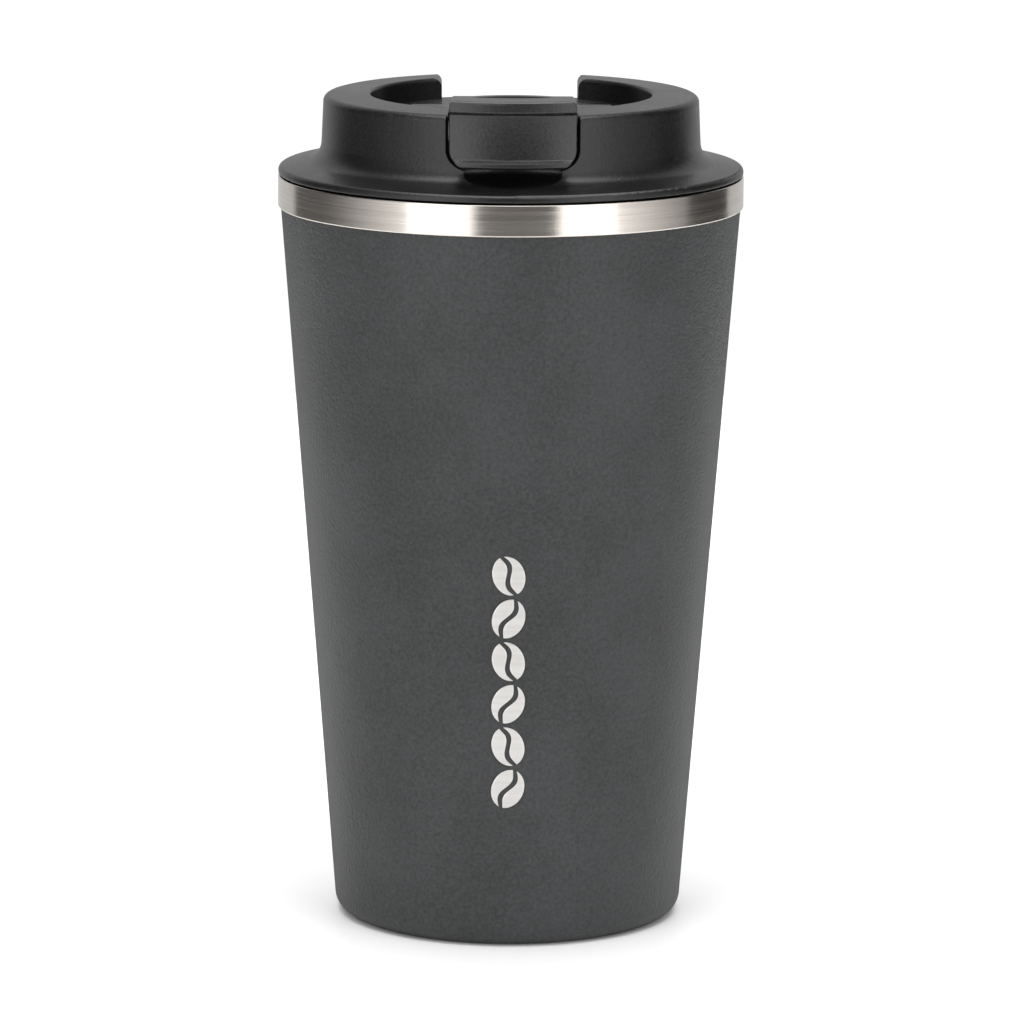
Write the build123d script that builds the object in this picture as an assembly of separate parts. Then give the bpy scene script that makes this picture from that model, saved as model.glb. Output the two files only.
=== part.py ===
"""Insulated travel mug: a double-wall vacuum cup, and a screw-on lid with a flip lever.

Millimetres, +Z up, origin at the centre of the foot. The drinking side faces -Y.
Each function below makes one piece where it sits in the closed mug.
"""

import os
from math import cos, hypot, pi, radians, sin

from build123d import *

# ---------------------------------------------------------------- driving sizes

# Cup, outside
MOUTH_RADIUS = 44.35  # outside of the bare steel band
BAND_BOTTOM = 137.4
BAND_HEIGHT = 5.95
BAND_STEP = 0.52  # the band stands this much proud of the coated wall
BAND_WALL = 0.6
BAND_EDGE = 0.25
BAND_TONGUE = 3.0  # length that reaches down inside the shell
FOOT_RADIUS = 33.15  # where the tapered wall would meet the table
FOOT_CORNER = 3.4
FOOT_RING_WIDTH = 2.2  # flat ring inside the corner, on the table
SHELL_WALL = 0.6

# Cup, inside
LINER_WALL = 0.55
NECK_INSET = 4.15  # from the band's outside to the neck's bore
NECK_DEPTH = 17.35  # from the rim down to the shoulder
SHOULDER_DROP = 6.0
SHOULDER_STEP = 1.6
FOOT_SPACE = 2.95  # from the shell's outside to the liner's inside, at the foot
LINER_FLOOR = 9.0
LINER_CORNER = 6.0
SEAM_MARGIN = 1.0  # the weld sits this far above the corner
BOWL_BLEND = 1.2

# Base and vacuum fittings
BASE_WALL = 0.6
BASE_RIM_INSET = 3.0
BASE_RISE = 1.9
BASE_EDGE_GAP = 0.3
COVER_DISC_WALL = 0.4
COVER_DISC_GAP = 0.3
COVER_DISC_STEP_INSET = 3.5
COVER_DISC_RISE = 1.1
PORT_RADIUS = 1.0
PORT_DISH_RADIUS = 3.2
PORT_DISH_DEPTH = 0.5
SOLDER_INSET = 0.8
GETTER_OFFSET = 13.0
GETTER_RADIUS = 3.5
GETTER_HEIGHT = 1.8
CLIP_WALL = 0.3
CLIP_WIDTH = 4.0
CLIP_FOOT = 3.0
CLIP_HOOK = 0.9
FOIL_WALL = 0.15
FOIL_GAP = 0.05
FOIL_MARGIN = 6.0  # bare liner below and above the foil

# Thread: two starts, right-handed
THREAD_LEAD = 8.0
THREAD_STARTS = 2
THREAD_TURN = 200.0
RIDGE_ROOT = 1.6
RIDGE_CREST = 0.9
RIDGE_DEPTH = 1.1
RIDGE_SINK = 0.25
RIDGE_CREST_GAP = 0.4
RIDGE_START_RISE = 3.6  # from the shoulder to the start of the cup's ridges

# Lid plug
PLUG_RISE = 0.4  # above the shoulder
PLUG_WALL = 1.8
SKIRT_GAP = 0.5  # plug skirt to the crest of the cup's ridges
SHELF_GAP = 0.6
SHELF_HEIGHT = 1.1
SPIGOT_HEIGHT = 1.6
SPIGOT_WALL = 1.4
SPIGOT_GAP = 0.05
TUBE_WALL = 1.5

# Lid gasket
GASKET_BORE_GAP = 0.15
GASKET_WALL_GAP = 0.3
GASKET_END_GAP = 0.15
GASKET_HEIGHT = 4.6
GASKET_HEADROOM = 1.3
GASKET_BODY = 0.65
RIB_PITCH = 2.0
RIB_TIP_ROUND = 0.17

# Lid cover
RIM_GAP = 0.35  # under the flange, above the band
FLANGE_INSET = 0.05  # inside the band's edge
FLANGE_EDGE_HEIGHT = 1.25
FLANGE_SLOPE = 0.2
FLANGE_TOP_ROUND = 0.9
FLANGE_BOTTOM_ROUND = 0.25
NECK_BLEND = 3.7
RING_INSET = 8.05  # from the band's outside to the neck's root
RING_DRAFT = 0.6
RING_RISE = 15.2
RING_FALL = 0.35  # the ring's top falls this much towards its outer edge
RING_OUTER_ROUND = 1.3
RING_WIDTH = 8.95
RING_INNER_ROUND = 0.6
NOTCH_RIM_SHARE = 0.7  # round at the notch, of the step from the tab's slot to the head's
DECK_DROP = 5.05
DECK_WALL = 2.1
DECK_BLEND = 1.0
COVER_WALL = 1.8
HOLLOW_ROUND = 0.6
REAR_NOTCH_MARGIN = 1.4  # beside the lever that leans into the notch
REAR_NOTCH_ROUND = 2.0

# Flip lever
TAB_WIDTH = 23.6
TAB_GAP = 0.5
HEAD_GAP = 0.2  # beside the head, between the ring's ends
TAB_PROUD = 2.0  # front of the finger lip, in front of the neck
TAB_THICKNESS = 3.1
TAB_RISE = 2.8
TAB_LENGTH = 12.55
TAB_TOP_CORNER = 1.3
TAB_BOTTOM_CORNER = 3.3
LIP_HEIGHT = 2.1
LIP_DEPTH = 1.0
LIP_ROUND = 0.6
LIP_LOWER_ROUND = 0.4
FACE_ROUND = 0.35
TAB_EDGE_ROUND = 0.2
FACE_HOLLOW = 0.25
FACE_SWEEP_SHARE = 0.6  # of the longest arc that fits the hollow
FOOT_LIP_HEIGHT = 1.2
FOOT_LIP_DEPTH = 0.8
FOOT_LIP_ROUND = 0.4
FOOT_LIP_EDGE = 0.2
HEAD_SETBACK = 1.85  # head's back, in front of the ring's bore
HEAD_WALL = 2.0
CROWN_WIDTH = 15.0
CROWN_RISE = 0.22
ARM_WALL = 2.0
ARM_ROUND = 0.45
ARM_FLOAT = 0.7  # under the arm, above the deck
POCKET_GAP = 0.4
SCOOP_MARGIN = 0.6  # from the scoop's ends to the tab's edges
SCOOP_REACH = 5.4
SCOOP_HALF_HEIGHT = 2.9
SCOOP_DROP = 0.7

# Hinge
PIN_RADIUS = 0.75
PIN_RUNNING_GAP = 0.05
PIN_INSET = 1.0
PIVOT_RISE = 1.0  # above the deck
BARREL_RADIUS = 1.6
BLOCK_GAP = 0.5
BLOCK_WIDTH = 7.0
BLOCK_LENGTH = 5.6
BLOCK_RISE = 1.5  # above the pivot
BLOCK_ROUND = 0.5
WELL_DEPTH = 1.0
WELL_FRONT = 2.2
WELL_BACK = 4.8

# Drink hole, vent and stopper
HOLE_LENGTH = 13.0
HOLE_WIDTH = 7.5
HOLE_INSET = 7.75  # from the ring's bore to the hole's middle
VENT_RADIUS = 1.4
VENT_SPACING = 10.5
STOPPER_GAP = 0.4
STOPPER_DRAFT = 0.6
STOPPER_DEPTH = 3.0
PAD_GAP = 0.2
PAD_MARGIN = 1.0
PAD_CORNER = 2.5
PEG_MARGIN = 2.0
PEG_DEPTH = 2.4
NUB_GAP = 0.5
NUB_DEPTH = 1.4
NUB_TIP = 0.55

REACH = 200.0  # longer than anything it cuts
SINK = 0.2  # how far fused bodies run into each other

# ---------------------------------------------------------------- sizes that follow

BAND_TOP = BAND_BOTTOM + BAND_HEIGHT
BAND_BORE = MOUTH_RADIUS - BAND_WALL
SHELL_TOP_RADIUS = MOUTH_RADIUS - BAND_STEP
TAPER = (SHELL_TOP_RADIUS - FOOT_RADIUS) / BAND_BOTTOM
FOOT_RING_RADIUS = FOOT_RADIUS - FOOT_CORNER - FOOT_RING_WIDTH
BASE_RIM_RADIUS = FOOT_RING_RADIUS - BASE_RIM_INSET
COVER_DISC_STEP_RADIUS = BASE_RIM_RADIUS - COVER_DISC_STEP_INSET
SOLDER_RADIUS = PORT_DISH_RADIUS - SOLDER_INSET
NECK_RADIUS = MOUTH_RADIUS - NECK_INSET
NECK_BOTTOM = BAND_TOP - NECK_DEPTH
LINER_FOOT_RADIUS = FOOT_RADIUS - FOOT_SPACE
LINER_SEAM = LINER_FLOOR + LINER_CORNER + SEAM_MARGIN
SHOULDER_BOTTOM = NECK_BOTTOM - SHOULDER_DROP
SHOULDER_RADIUS = NECK_RADIUS - SHOULDER_STEP
FOIL_BOTTOM = LINER_SEAM + FOIL_MARGIN
FOIL_TOP = SHOULDER_BOTTOM - FOIL_MARGIN
CUP_CREST = NECK_RADIUS - RIDGE_DEPTH
CUP_RIDGE_START = NECK_BOTTOM + RIDGE_START_RISE
SKIRT_RADIUS = CUP_CREST - SKIRT_GAP
LID_CREST = NECK_RADIUS - RIDGE_CREST_GAP
THREAD_PITCH = THREAD_LEAD / THREAD_STARTS
PLUG_BOTTOM = NECK_BOTTOM + PLUG_RISE
FLANGE_BOTTOM = BAND_TOP + RIM_GAP
FLANGE_RADIUS = MOUTH_RADIUS - FLANGE_INSET
FLANGE_EDGE_TOP = FLANGE_BOTTOM + FLANGE_EDGE_HEIGHT
SHELF_RADIUS = NECK_RADIUS - SHELF_GAP
SHELF_TOP = FLANGE_BOTTOM - GASKET_HEADROOM - GASKET_HEIGHT - 2 * GASKET_END_GAP
SHELF_BOTTOM = SHELF_TOP - SHELF_HEIGHT
HOLLOW_RADIUS = SKIRT_RADIUS - PLUG_WALL
RING_ROOT_RADIUS = MOUTH_RADIUS - RING_INSET
RING_TOP_RADIUS = RING_ROOT_RADIUS - RING_DRAFT
RING_INNER_RADIUS = RING_TOP_RADIUS - RING_WIDTH
RING_TOP = FLANGE_BOTTOM + RING_RISE
DECK_TOP = RING_TOP - DECK_DROP
DECK_BOTTOM = DECK_TOP - DECK_WALL
HALF_TAB = TAB_WIDTH / 2
HALF_SLOT = HALF_TAB + TAB_GAP
HALF_HEAD_SLOT = HALF_TAB + HEAD_GAP
NOTCH_RIM_ROUND = NOTCH_RIM_SHARE * (HALF_SLOT - HALF_HEAD_SLOT)
HALF_REAR_NOTCH = HALF_TAB + REAR_NOTCH_MARGIN
TAB_RADIUS = RING_ROOT_RADIUS + TAB_PROUD
TAB_BACK_RADIUS = TAB_RADIUS - TAB_THICKNESS
TAB_TOP = RING_TOP + TAB_RISE
TAB_BOTTOM = TAB_TOP - TAB_LENGTH
HEAD_BACK = RING_INNER_RADIUS + HEAD_SETBACK
SCOOP_HALF_WIDTH = HALF_TAB - SCOOP_MARGIN
POCKET_RADIUS = TAB_BACK_RADIUS - POCKET_GAP
PIVOT_HEIGHT = DECK_TOP + PIVOT_RISE
HOLE_PLACE = HOLE_INSET - RING_INNER_RADIUS
VENT_PLACE = HOLE_PLACE + VENT_SPACING
ARM_BOTTOM = DECK_TOP + ARM_FLOAT
ARM_TOP = ARM_BOTTOM + ARM_WALL
BLOCK_INNER = HALF_TAB + BLOCK_GAP
BLOCK_OUTER = BLOCK_INNER + BLOCK_WIDTH
BLOCK_TOP = PIVOT_HEIGHT + BLOCK_RISE
BASE_PLATE_TOP = SHELL_WALL + BASE_WALL


# ---------------------------------------------------------------- helpers


def rounded_face(corners):
    """Flat face from (x, y) or (x, y, rounding) corners."""
    places = [(corner[0], corner[1]) for corner in corners]
    rounds = [corner[2] if len(corner) > 2 else 0 for corner in corners]
    return make_face(FilletPolyline(*places, radius=rounds, close=True))


def turned(corners):
    """Solid of revolution about Z from (radius, height) or (radius, height, rounding) corners."""
    return revolve(Plane.XZ * rounded_face(corners), Axis.Z)


def box_between(low, high):
    """Box from its lowest corner to its highest."""
    size = [b - a for a, b in zip(low, high)]
    middle = [(a + b) / 2 for a, b in zip(low, high)]
    return Pos(*middle) * Box(*size)


def cylinder_along_z(radius, bottom, top, x=0.0, y=0.0):
    """Round bar between two heights."""
    return Pos(x, y, (bottom + top) / 2) * Cylinder(radius, top - bottom)


def cylinder_along_x(radius, half_length, y=0.0, z=0.0):
    """Round bar across the mug, centred on its middle plane."""
    return Pos(0, y, z) * Rot(0, 90, 0) * Cylinder(radius, 2 * half_length)


def oval_bar(length, width, bottom, top, y, top_growth=0.0):
    """Upright bar of slot shape, long across the mug; top_growth widens its top evenly."""
    low = Pos(0, y, bottom) * SlotOverall(length, width)
    if top_growth == 0:
        return extrude(low, top - bottom)
    high = Pos(0, y, top) * SlotOverall(length + 2 * top_growth, width + 2 * top_growth)
    return loft([low, high])


def front_prism(corners, near, far):
    """Shape drawn in the front view, (x, height, rounding), run from y = near to y = far."""
    face = Plane.XZ * rounded_face(corners)
    return Pos(0, far, 0) * extrude(face, far - near)


def shell_radius(height):
    """Outside radius of the tapered wall."""
    return FOOT_RADIUS + TAPER * height


def liner_radius(height):
    """Inside radius of the liner below its shoulder."""
    share = (height - LINER_FLOOR) / (SHOULDER_BOTTOM - LINER_FLOOR)
    return LINER_FOOT_RADIUS + share * (SHOULDER_RADIUS - LINER_FOOT_RADIUS)


def ring_radius(height):
    """Outside radius of the lid's neck, which draws in slightly towards its top."""
    share = (height - FLANGE_EDGE_TOP) / (RING_TOP - FLANGE_EDGE_TOP)
    return RING_ROOT_RADIUS + share * (RING_TOP_RADIUS - RING_ROOT_RADIUS)


def thread_ridge(root, crest, start_height, start_angle):
    """One helical ridge of trapezoid section, from its root radius to its crest radius."""
    rise = THREAD_LEAD * THREAD_TURN / 360
    section = (
        (root, -RIDGE_ROOT / 2),
        (crest, -RIDGE_CREST / 2),
        (crest, RIDGE_CREST / 2),
        (root, RIDGE_ROOT / 2),
    )
    edges = [
        Edge.make_helix(THREAD_LEAD, rise, radius, center=(0, 0, start_height + lift))
        for radius, lift in section
    ]
    sides = [Face.make_surface_from_curves(a, b) for a, b in zip(edges, edges[1:] + edges[:1])]
    turn = radians(THREAD_TURN)
    first = [(radius, 0, start_height + lift) for radius, lift in section]
    last = [
        (radius * cos(turn), radius * sin(turn), start_height + lift + rise)
        for radius, lift in section
    ]
    ends = [Face(Wire.make_polygon(points)) for points in (first, last)]
    return Rot(0, 0, start_angle) * Solid(Shell(sides + ends))


def with_ridges(wall, root, crest, start_height):
    """The wall with one ridge fused on for each start of the thread."""
    for start in range(THREAD_STARTS):
        wall += thread_ridge(root, crest, start_height, start * 360 / THREAD_STARTS)
    return wall


# ---------------------------------------------------------------- cup


def outer_shell():
    """Tapered outer wall with a rounded foot corner and a foot ring turned inwards."""
    inner_foot = shell_radius(SHELL_WALL) - SHELL_WALL
    return turned(
        [
            (FOOT_RING_RADIUS, 0),
            (FOOT_RADIUS, 0, FOOT_CORNER),
            (SHELL_TOP_RADIUS, BAND_BOTTOM),
            (SHELL_TOP_RADIUS - SHELL_WALL, BAND_BOTTOM),
            (inner_foot, SHELL_WALL, FOOT_CORNER - SHELL_WALL),
            (FOOT_RING_RADIUS, SHELL_WALL),
        ]
    )


def rim_band():
    """Bare steel band that joins the lip of the liner to the top of the shell."""
    tongue_bottom = BAND_BOTTOM - BAND_TONGUE
    tongue_top_radius = shell_radius(BAND_BOTTOM) - SHELL_WALL
    tongue_bottom_radius = shell_radius(tongue_bottom) - SHELL_WALL
    return turned(
        [
            (MOUTH_RADIUS, BAND_BOTTOM, BAND_EDGE),
            (MOUTH_RADIUS, BAND_TOP, BAND_EDGE),
            (BAND_BORE, BAND_TOP),
            (BAND_BORE, BAND_BOTTOM + BAND_WALL),
            (tongue_top_radius - BAND_WALL, BAND_BOTTOM + BAND_WALL),
            (tongue_bottom_radius - BAND_WALL, tongue_bottom),
            (tongue_bottom_radius, tongue_bottom),
            (tongue_top_radius, BAND_BOTTOM),
        ]
    )


def inner_liner():
    """Tapered inner wall with a shoulder, the threaded neck and a bell mouth."""
    mouth = BAND_BORE - LINER_WALL
    flare = mouth - NECK_RADIUS
    seam_radius = liner_radius(LINER_SEAM)
    wall = turned(
        [
            (seam_radius, LINER_SEAM),
            (SHOULDER_RADIUS, SHOULDER_BOTTOM, BOWL_BLEND),
            (NECK_RADIUS, NECK_BOTTOM, BOWL_BLEND),
            (NECK_RADIUS, BAND_TOP - flare, BOWL_BLEND),
            (mouth, BAND_TOP),
            (BAND_BORE, BAND_TOP),
            (BAND_BORE, BAND_TOP - LINER_WALL / 2),
            (NECK_RADIUS + LINER_WALL, BAND_TOP - flare - LINER_WALL / 2, BOWL_BLEND / 2),
            (NECK_RADIUS + LINER_WALL, NECK_BOTTOM, BOWL_BLEND),
            (SHOULDER_RADIUS + LINER_WALL, SHOULDER_BOTTOM, BOWL_BLEND),
            (seam_radius + LINER_WALL, LINER_SEAM),
        ]
    )
    return with_ridges(wall, NECK_RADIUS + RIDGE_SINK, CUP_CREST, CUP_RIDGE_START)


def liner_bottom():
    """Pressed bottom of the liner, butt-welded to its wall."""
    seam_radius = liner_radius(LINER_SEAM)
    return turned(
        [
            (0, LINER_FLOOR),
            (LINER_FOOT_RADIUS, LINER_FLOOR, LINER_CORNER - LINER_WALL),
            (seam_radius, LINER_SEAM),
            (seam_radius + LINER_WALL, LINER_SEAM),
            (LINER_FOOT_RADIUS + LINER_WALL, LINER_FLOOR - LINER_WALL, LINER_CORNER),
            (0, LINER_FLOOR - LINER_WALL),
        ]
    )


def radiation_foil():
    """Copper foil wrapped round the liner below its shoulder."""
    inner = LINER_WALL + FOIL_GAP
    return turned(
        [
            (liner_radius(FOIL_BOTTOM) + inner, FOIL_BOTTOM),
            (liner_radius(FOIL_BOTTOM) + inner + FOIL_WALL, FOIL_BOTTOM),
            (liner_radius(FOIL_TOP) + inner + FOIL_WALL, FOIL_TOP),
            (liner_radius(FOIL_TOP) + inner, FOIL_TOP),
        ]
    )


def base_centre_height():
    """Underside of the raised middle of the vacuum base."""
    return SHELL_WALL + BASE_RISE


def vacuum_base():
    """Pressed base that closes the vacuum, with a dished evacuation port."""
    edge = FOOT_RADIUS - FOOT_CORNER - BASE_EDGE_GAP
    centre = base_centre_height()
    dish = centre + PORT_DISH_DEPTH
    return turned(
        [
            (edge, SHELL_WALL),
            (edge, BASE_PLATE_TOP),
            (BASE_RIM_RADIUS - BASE_WALL, BASE_PLATE_TOP, BASE_WALL / 2),
            (BASE_RIM_RADIUS - BASE_RISE - BASE_WALL, centre + BASE_WALL, BASE_WALL / 2),
            (PORT_DISH_RADIUS + BASE_WALL, centre + BASE_WALL),
            (PORT_DISH_RADIUS, dish + BASE_WALL),
            (PORT_RADIUS, dish + BASE_WALL),
            (PORT_RADIUS, dish),
            (PORT_DISH_RADIUS - PORT_DISH_DEPTH, dish),
            (PORT_DISH_RADIUS, centre),
            (BASE_RIM_RADIUS - BASE_RISE, centre, BASE_WALL / 2),
            (BASE_RIM_RADIUS, SHELL_WALL, BASE_WALL / 2),
        ]
    )


def port_solder():
    """Bead that fills the port and part of its dish."""
    dish = base_centre_height() + PORT_DISH_DEPTH
    return turned(
        [
            (0, dish + BASE_WALL),
            (PORT_RADIUS, dish + BASE_WALL),
            (PORT_RADIUS, dish),
            (SOLDER_RADIUS, dish),
            (SOLDER_RADIUS - PORT_DISH_DEPTH, dish - PORT_DISH_DEPTH, PORT_DISH_DEPTH / 2),
            (0, dish - PORT_DISH_DEPTH),
        ]
    )


def base_cover():
    """Thin disc under the base that hides the port, stepped up in the middle."""
    top = SHELL_WALL
    bottom = top - COVER_DISC_WALL
    edge = FOOT_RING_RADIUS - COVER_DISC_GAP
    step = COVER_DISC_STEP_RADIUS
    rise = COVER_DISC_RISE
    return turned(
        [
            (0, bottom + rise),
            (step - rise, bottom + rise, COVER_DISC_WALL),
            (step, bottom, COVER_DISC_WALL),
            (edge, bottom),
            (edge, top),
            (step, top, COVER_DISC_WALL),
            (step - rise, top + rise, COVER_DISC_WALL),
            (0, top + rise),
        ]
    )


def getter():
    """Gas-absorbing pellet between the two bottoms."""
    bottom = base_centre_height() + BASE_WALL + CLIP_WALL
    return cylinder_along_z(GETTER_RADIUS, bottom, bottom + GETTER_HEIGHT, x=GETTER_OFFSET)


def getter_clip():
    """Bent strip, spot-welded to the base, that runs under the pellet and over its edges."""
    bottom = base_centre_height() + BASE_WALL
    top = bottom + CLIP_WALL + GETTER_HEIGHT + CLIP_WALL
    half = GETTER_RADIUS + CLIP_WALL
    clip = box_between(
        (GETTER_OFFSET - half - CLIP_FOOT, -CLIP_WIDTH / 2, bottom),
        (GETTER_OFFSET + half, CLIP_WIDTH / 2, bottom + CLIP_WALL),
    )
    for side in (-1, 1):
        near = GETTER_OFFSET + side * GETTER_RADIUS
        far = GETTER_OFFSET + side * half
        clip += box_between(
            (min(near, far), -CLIP_WIDTH / 2, bottom), (max(near, far), CLIP_WIDTH / 2, top)
        )
        hook = GETTER_OFFSET + side * (GETTER_RADIUS - CLIP_HOOK)
        clip += box_between(
            (min(hook, far), -CLIP_WIDTH / 2, top - CLIP_WALL),
            (max(hook, far), CLIP_WIDTH / 2, top),
        )
    return clip


# ---------------------------------------------------------------- lid


def gasket_span():
    """Bottom and top of the gasket, between the plug's shelf and the flange."""
    bottom = SHELF_TOP + GASKET_END_GAP
    return bottom, bottom + GASKET_HEIGHT


def lid_gasket():
    """Silicone ring with two sealing ribs."""
    bottom, top = gasket_span()
    bore = SKIRT_RADIUS + GASKET_BORE_GAP
    outer = NECK_RADIUS - GASKET_WALL_GAP
    body = bore + GASKET_BODY
    middle = (bottom + top) / 2
    corners = [(bore, bottom), (body, bottom)]
    for rib in (middle - RIB_PITCH / 2, middle + RIB_PITCH / 2):
        corners += [
            (body, rib - RIB_PITCH / 4),
            (outer, rib, RIB_TIP_ROUND),
            (body, rib + RIB_PITCH / 4),
        ]
    corners += [(body, top), (bore, top)]
    return turned(corners)


def lid_plug():
    """Lower half of the lid: threaded skirt, floor, gasket shelf, spigot, drink and vent tubes."""
    floor_top = PLUG_BOTTOM + PLUG_WALL
    spigot = HOLLOW_RADIUS - SPIGOT_GAP
    skirt = turned(
        [
            (0, PLUG_BOTTOM),
            (SKIRT_RADIUS, PLUG_BOTTOM, PLUG_WALL / 2),
            (SKIRT_RADIUS, SHELF_BOTTOM),
            (SHELF_RADIUS, SHELF_BOTTOM + SHELF_RADIUS - SKIRT_RADIUS),
            (SHELF_RADIUS, SHELF_TOP),
            (SKIRT_RADIUS, SHELF_TOP),
            (SKIRT_RADIUS, FLANGE_BOTTOM),
            (spigot, FLANGE_BOTTOM),
            (spigot, FLANGE_BOTTOM + SPIGOT_HEIGHT),
            (spigot - SPIGOT_WALL, FLANGE_BOTTOM + SPIGOT_HEIGHT),
            (spigot - SPIGOT_WALL, floor_top, PLUG_WALL / 2),
            (0, floor_top),
        ]
    )
    lid_start = CUP_RIDGE_START - THREAD_PITCH / 2
    plug = with_ridges(skirt, SKIRT_RADIUS - RIDGE_SINK, LID_CREST, lid_start)
    drink_length = HOLE_LENGTH + 2 * TUBE_WALL
    drink_width = HOLE_WIDTH + 2 * TUBE_WALL
    plug += oval_bar(drink_length, drink_width, PLUG_BOTTOM, DECK_BOTTOM, HOLE_PLACE)
    plug += cylinder_along_z(VENT_RADIUS + TUBE_WALL, PLUG_BOTTOM, DECK_BOTTOM, y=VENT_PLACE)
    plug -= oval_bar(HOLE_LENGTH, HOLE_WIDTH, PLUG_BOTTOM - SINK, DECK_BOTTOM + SINK, HOLE_PLACE)
    plug -= cylinder_along_z(VENT_RADIUS, PLUG_BOTTOM - SINK, DECK_BOTTOM + SINK, y=VENT_PLACE)
    return plug


def cover_block():
    """Outside of the lid cover before its hollow and its notches are cut."""
    root_height = FLANGE_EDGE_TOP + FLANGE_SLOPE * (FLANGE_RADIUS - RING_ROOT_RADIUS)
    return turned(
        [
            (0, FLANGE_BOTTOM),
            (FLANGE_RADIUS, FLANGE_BOTTOM, FLANGE_BOTTOM_ROUND),
            (FLANGE_RADIUS, FLANGE_EDGE_TOP, FLANGE_TOP_ROUND),
            (ring_radius(root_height), root_height, NECK_BLEND),
            (RING_TOP_RADIUS, RING_TOP - RING_FALL, RING_OUTER_ROUND),
            (RING_INNER_RADIUS, RING_TOP, RING_INNER_ROUND),
            (RING_INNER_RADIUS, DECK_TOP, DECK_BLEND),
            (0, DECK_TOP),
        ]
    )


def cover_hollow():
    """Space inside the lid cover, open below, following the outside at the wall's distance."""
    shoulder = FLANGE_BOTTOM + COVER_WALL
    inner = ring_radius(RING_TOP) - COVER_WALL
    return turned(
        [
            (0, FLANGE_BOTTOM - SINK),
            (HOLLOW_RADIUS, FLANGE_BOTTOM - SINK),
            (HOLLOW_RADIUS, shoulder),
            (inner, shoulder + NECK_BLEND - SINK),
            (inner, RING_TOP - COVER_WALL, HOLLOW_ROUND),
            (RING_INNER_RADIUS + COVER_WALL, RING_TOP - COVER_WALL, HOLLOW_ROUND),
            (RING_INNER_RADIUS + COVER_WALL, DECK_BOTTOM, HOLLOW_ROUND),
            (0, DECK_BOTTOM),
        ]
    )


def front_notch(margin=0.0):
    """Gap in the ring that the lever's head fills; margin grows it by a wall."""
    half = HALF_HEAD_SLOT + margin
    return box_between(
        (-half, -REACH, DECK_TOP - margin), (half, -RING_INNER_RADIUS / 2, RING_TOP + REACH)
    )


def rear_notch(margin=0.0):
    """Gap in the ring that the open lever leans into, flared at the ring's top."""
    half = HALF_REAR_NOTCH + margin
    flare = REAR_NOTCH_ROUND
    corners = [
        (-half, DECK_TOP - margin),
        (half, DECK_TOP - margin),
        (half, RING_TOP, flare),
        (half + 2 * flare, RING_TOP),
        (half + 2 * flare, RING_TOP + flare),
        (-half - 2 * flare, RING_TOP + flare),
        (-half - 2 * flare, RING_TOP),
        (-half, RING_TOP, flare),
    ]
    return front_prism(corners, RING_INNER_RADIUS / 2, REACH)


def tab_pocket(margin=0.0):
    """Recess in the neck round the lever's tab, down to a round back wall."""
    half = HALF_SLOT + margin
    bottom = TAB_BOTTOM - TAB_GAP - margin
    corner = TAB_BOTTOM_CORNER + TAB_GAP + margin
    corners = [
        (-half, bottom, corner),
        (half, bottom, corner),
        (half, RING_TOP + REACH),
        (-half, RING_TOP + REACH),
    ]
    back = cylinder_along_z(POCKET_RADIUS - margin, 0, 2 * REACH)
    return front_prism(corners, -REACH, -RING_INNER_RADIUS) - back


def finger_scoop(margin=0.0):
    """Hollow under the tab for a fingertip, an ellipsoid."""
    place = Pos(0, -TAB_RADIUS, TAB_BOTTOM - SCOOP_DROP)
    semi_axes = (SCOOP_HALF_WIDTH + margin, SCOOP_REACH + margin, SCOOP_HALF_HEIGHT + margin)
    return place * scale(Sphere(1), by=semi_axes)


def nearest(edge):
    """Shortest distance from the cup's axis to an edge's ends and middle."""
    points = [edge.position_at(share) for share in (0, 0.5, 1)]
    return min(hypot(point.X, point.Y) for point in points)


def notch_rims(ring):
    """Edges at the front notch's two sides, round the ring's top and down its outside."""
    return [
        edge
        for edge in ring.edges()
        if HALF_TAB < abs(edge.center().X) < HALF_SLOT + SINK
        and edge.center().Y < 0
        and nearest(edge) > RING_INNER_RADIUS + RING_INNER_ROUND / 2
        and edge.geom_type != GeomType.LINE
    ]


def hinge_block(side):
    """Raised block beside the lever's barrel."""
    inner = side * BLOCK_INNER
    outer = side * BLOCK_OUTER
    block = box_between(
        (min(inner, outer), -BLOCK_LENGTH / 2, DECK_TOP - SINK),
        (max(inner, outer), BLOCK_LENGTH / 2, BLOCK_TOP),
    )
    top_edges = block.faces().sort_by(Axis.Z)[-1].edges()
    return fillet(top_edges, BLOCK_ROUND)


def hinge_well():
    """Shallow well in the deck that the barrel and the root of the arm turn in."""
    return box_between(
        (-HALF_SLOT, -WELL_FRONT, DECK_TOP - WELL_DEPTH), (HALF_SLOT, WELL_BACK, DECK_TOP + SINK)
    )


def lid_cover():
    """Moulded top of the lid: flange, neck, notched ring, deck with holes, hinge blocks."""
    hollow = cover_hollow()
    hollow -= front_notch(COVER_WALL)
    hollow -= rear_notch(COVER_WALL)
    hollow -= tab_pocket(COVER_WALL)
    spigot_top = FLANGE_BOTTOM + SPIGOT_HEIGHT + SINK
    above_spigot = box_between((-REACH, -REACH, spigot_top), (REACH, REACH, REACH))
    hollow -= finger_scoop(COVER_WALL) & above_spigot
    cover = cover_block() - front_notch() - rear_notch() - tab_pocket() - finger_scoop()
    cover = fillet(notch_rims(cover), NOTCH_RIM_ROUND)
    cover -= hollow
    cover -= hinge_well()
    for side in (-1, 1):
        cover += hinge_block(side)
    cover -= cylinder_along_x(PIN_RADIUS, BLOCK_OUTER + SINK, z=PIVOT_HEIGHT)
    cover -= oval_bar(HOLE_LENGTH, HOLE_WIDTH, DECK_BOTTOM - SINK, DECK_TOP + SINK, HOLE_PLACE)
    cover -= cylinder_along_z(VENT_RADIUS, DECK_BOTTOM - SINK, DECK_TOP + SINK, y=VENT_PLACE)
    return cover


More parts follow.
